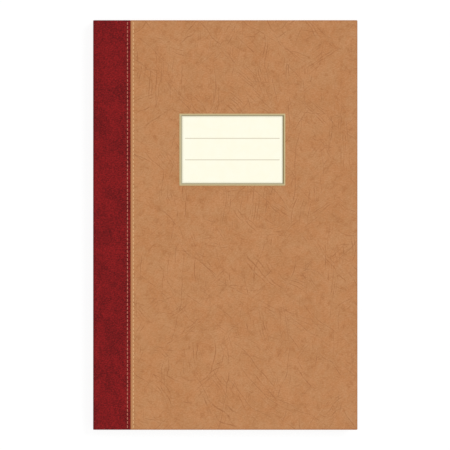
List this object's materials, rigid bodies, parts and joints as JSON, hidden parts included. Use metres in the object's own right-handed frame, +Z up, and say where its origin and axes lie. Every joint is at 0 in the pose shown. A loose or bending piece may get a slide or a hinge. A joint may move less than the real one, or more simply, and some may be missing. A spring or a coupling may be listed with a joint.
{
  "type": "hardcover notebook",
  "caption": "Tall quarter-bound hardcover notebook with tan sides, red stitched spine strip, framed title label and sewn leaves that open flat.",
  "frame": {"origin": "middle of the closed notebook's outline on the surface it lies on, under the back cover", "axes": "+Z up through the front cover, +Y towards the head, +X from the spine to the fore edge"},
  "size_m": [0.213, 0.33, 0.0155],
  "materials": {
    "tan_leatherette": "satin",
    "red_leatherette": "satin",
    "red_thread": "matte",
    "tan_thread": "matte",
    "greyboard": "matte",
    "endpaper": "matte",
    "page_paper": "matte",
    "gauze": "matte",
    "kraft": "matte",
    "sewing_thread": "matte",
    "band_cloth": "matte",
    "label_frame": "satin",
    "label_card": "satin"
  },
  "bodies": {
    "back_cover": {"back_board": "greyboard", "back_side_cover": "tan_leatherette", "back_quarter_cover": "red_leatherette", "back_red_stitches": "red_thread", "back_tan_stitches": "tan_thread", "back_mull_flap": "gauze", "back_pastedown": "endpaper"},
    "spine": {"spine_inlay": "greyboard", "spine_cover": "red_leatherette", "back_joint_cover": "red_leatherette", "front_joint_cover": "red_leatherette", "spine_lining": "kraft", "mull": "gauze", "back_mull_hinge": "gauze", "front_mull_hinge": "gauze", "back_endpaper_hinge": "endpaper", "front_endpaper_hinge": "endpaper", "endpaper_folds": "endpaper", "section_folds": "page_paper", "sewing_thread": "sewing_thread", "head_band": "band_cloth", "tail_band": "band_cloth"},
    "front_cover": {"front_board": "greyboard", "front_side_cover": "tan_leatherette", "front_quarter_cover": "red_leatherette", "front_red_stitches": "red_thread", "front_tan_stitches": "tan_thread", "front_mull_flap": "gauze", "front_pastedown": "endpaper", "label_frame": "label_frame", "label_card": "label_card"},
    "front_flyleaf": {"front_flyleaf": "endpaper"},
    "back_flyleaf": {"back_flyleaf": "endpaper"},
    "section_01": {"section_01": "page_paper"},
    "section_02": {"section_02": "page_paper"},
    "section_03": {"section_03": "page_paper"},
    "section_04": {"section_04": "page_paper"},
    "section_05": {"section_05": "page_paper"},
    "section_06": {"section_06": "page_paper"},
    "section_07": {"section_07": "page_paper"},
    "section_08": {"section_08": "page_paper"},
    "section_09": {"section_09": "page_paper"},
    "section_10": {"section_10": "page_paper"},
    "section_11": {"section_11": "page_paper"},
    "section_12": {"section_12": "page_paper"}
  },
  "joints": [
    {"name": "back_joint", "type": "hinge", "parent": "back_cover", "child": "spine", "pos_m": [-0.1045, 0, 0.002], "axis": [0, -1, 0], "range_deg": [0, 90], "deforming": ["back_joint_cover", "back_mull_hinge", "back_endpaper_hinge"]},
    {"name": "front_joint", "type": "hinge", "parent": "spine", "child": "front_cover", "pos_m": [-0.1045, 0, 0.01329], "axis": [0, -1, 0], "range_deg": [0, 90], "deforming": ["front_joint_cover", "front_mull_hinge", "front_endpaper_hinge"]},
    {"name": "front_flyleaf_bend", "type": "hinge", "parent": "spine", "child": "front_flyleaf", "pos_m": [-0.10355, 0, 0.01244], "axis": [0, -1, 0], "range_deg": [0, 90]},
    {"name": "back_flyleaf_bend", "type": "hinge", "parent": "spine", "child": "back_flyleaf", "pos_m": [-0.10355, 0, 0.00285], "axis": [0, 1, 0], "range_deg": [0, 90]},
    {"name": "section_01_bend", "type": "hinge", "parent": "spine", "child": "section_01", "pos_m": [-0.10335, 0, 0.01224], "axis": [0, -1, 0], "range_deg": [0, 90]},
    {"name": "section_02_bend", "type": "hinge", "parent": "spine", "child": "section_02", "pos_m": [-0.10258, 0, 0.01147], "axis": [0, -1, 0], "range_deg": [0, 90]},
    {"name": "section_03_bend", "type": "hinge", "parent": "spine", "child": "section_03", "pos_m": [-0.10181, 0, 0.0107], "axis": [0, -1, 0], "range_deg": [0, 90]},
    {"name": "section_04_bend", "type": "hinge", "parent": "spine", "child": "section_04", "pos_m": [-0.10104, 0, 0.00993], "axis": [0, -1, 0], "range_deg": [0, 90]},
    {"name": "section_05_bend", "type": "hinge", "parent": "spine", "child": "section_05", "pos_m": [-0.10027, 0, 0.00916], "axis": [0, -1, 0], "range_deg": [0, 90]},
    {"name": "section_06_bend", "type": "hinge", "parent": "spine", "child": "section_06", "pos_m": [-0.0995, 0, 0.00839], "axis": [0, -1, 0], "range_deg": [0, 90]},
    {"name": "section_07_bend", "type": "hinge", "parent": "spine", "child": "section_07", "pos_m": [-0.0995, 0, 0.0069], "axis": [0, 1, 0], "range_deg": [0, 90]},
    {"name": "section_08_bend", "type": "hinge", "parent": "spine", "child": "section_08", "pos_m": [-0.10027, 0, 0.00613], "axis": [0, 1, 0], "range_deg": [0, 90]},
    {"name": "section_09_bend", "type": "hinge", "parent": "spine", "child": "section_09", "pos_m": [-0.10104, 0, 0.00536], "axis": [0, 1, 0], "range_deg": [0, 90]},
    {"name": "section_10_bend", "type": "hinge", "parent": "spine", "child": "section_10", "pos_m": [-0.10181, 0, 0.00459], "axis": [0, 1, 0], "range_deg": [0, 90]},
    {"name": "section_11_bend", "type": "hinge", "parent": "spine", "child": "section_11", "pos_m": [-0.10258, 0, 0.00382], "axis": [0, 1, 0], "range_deg": [0, 90]},
    {"name": "section_12_bend", "type": "hinge", "parent": "spine", "child": "section_12", "pos_m": [-0.10335, 0, 0.00305], "axis": [0, 1, 0], "range_deg": [0, 90]}
  ],
  "couplings": [
    {"joint": "front_flyleaf_bend", "follows": "front_joint", "ratio": 0.992},
    {"joint": "back_flyleaf_bend", "follows": "back_joint", "ratio": 0.992},
    {"joint": "section_01_bend", "follows": "front_joint", "ratio": 0.984},
    {"joint": "section_02_bend", "follows": "front_joint", "ratio": 0.973},
    {"joint": "section_03_bend", "follows": "front_joint", "ratio": 0.962},
    {"joint": "section_04_bend", "follows": "front_joint", "ratio": 0.951},
    {"joint": "section_05_bend", "follows": "front_joint", "ratio": 0.94},
    {"joint": "section_06_bend", "follows": "front_joint", "ratio": 0.929},
    {"joint": "section_07_bend", "follows": "back_joint", "ratio": 0.929},
    {"joint": "section_08_bend", "follows": "back_joint", "ratio": 0.94},
    {"joint": "section_09_bend", "follows": "back_joint", "ratio": 0.951},
    {"joint": "section_10_bend", "follows": "back_joint", "ratio": 0.962},
    {"joint": "section_11_bend", "follows": "back_joint", "ratio": 0.973},
    {"joint": "section_12_bend", "follows": "back_joint", "ratio": 0.984}
  ]
}
